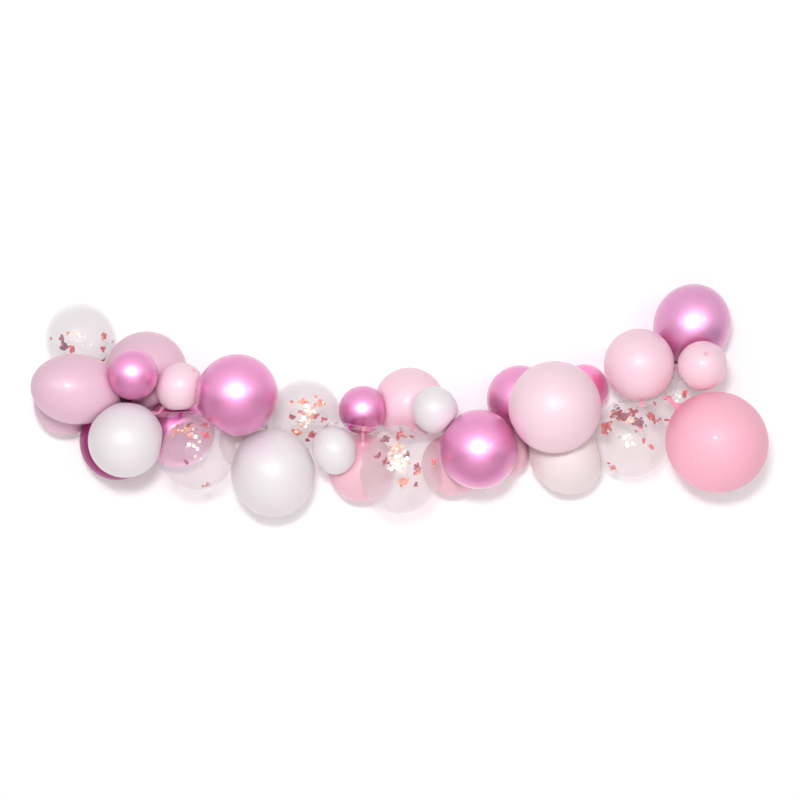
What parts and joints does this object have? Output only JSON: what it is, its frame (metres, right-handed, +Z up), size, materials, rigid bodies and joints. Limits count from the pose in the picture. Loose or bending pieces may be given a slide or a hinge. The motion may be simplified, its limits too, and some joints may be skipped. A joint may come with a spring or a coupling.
{
  "type": "balloon garland",
  "caption": "Hanging garland of pink, white, metallic and confetti-filled clear latex balloons in mixed sizes, tied to a clear decorating strip with a wall tab at each end.",
  "frame": {"origin": "middle of the left wall tab's fixing pad, on the wall plane", "axes": "+X runs along the garland to the viewer's right, +Y points into the wall, so the garland is on the -Y side, +Z is up"},
  "size_m": [1.9978, 0.3854, 0.6348],
  "materials": {
    "white_latex": "pearl white latex, satin",
    "cream_latex": "cream latex, satin",
    "lilac_latex": "lilac pink latex, satin",
    "blush_latex": "pastel pink latex, satin",
    "rose_latex": "rose pink latex, satin",
    "metallic_latex": "metallic pink latex, high gloss",
    "clear_latex": "clear latex with rose gold foil confetti inside",
    "clear_tape": "clear plastic balloon tape"
  },
  "bodies": {
    "root": {"decorating_strip": "clear_tape", "balloon_01_clear": "clear_latex", "balloon_02_lilac": "lilac_latex", "balloon_03_lilac": "lilac_latex", "balloon_04_lilac": "lilac_latex", "balloon_05_chrome": "metallic_latex", "balloon_06_chrome": "metallic_latex", "balloon_07_white": "white_latex", "balloon_08_blush": "blush_latex", "balloon_09_chrome": "metallic_latex", "balloon_10_clear": "clear_latex", "balloon_11_chrome": "metallic_latex", "balloon_12_white": "white_latex", "balloon_13_clear": "clear_latex", "balloon_14_white": "white_latex", "balloon_15_chrome": "metallic_latex", "balloon_16_blush": "blush_latex", "balloon_17_white": "white_latex", "balloon_18_blush": "blush_latex", "balloon_19_clear": "clear_latex", "balloon_20_chrome": "metallic_latex", "balloon_21_blush": "blush_latex", "balloon_22_chrome": "metallic_latex", "balloon_23_blush": "blush_latex", "balloon_24_blush": "blush_latex", "balloon_25_cream": "cream_latex", "balloon_26_chrome": "metallic_latex", "balloon_27_blush": "blush_latex", "balloon_28_chrome": "metallic_latex", "balloon_29_blush": "blush_latex", "balloon_30_clear": "clear_latex", "balloon_31_clear": "clear_latex", "balloon_32_rose": "rose_latex", "balloon_33_cream": "cream_latex"}
  },
  "joints": []
}
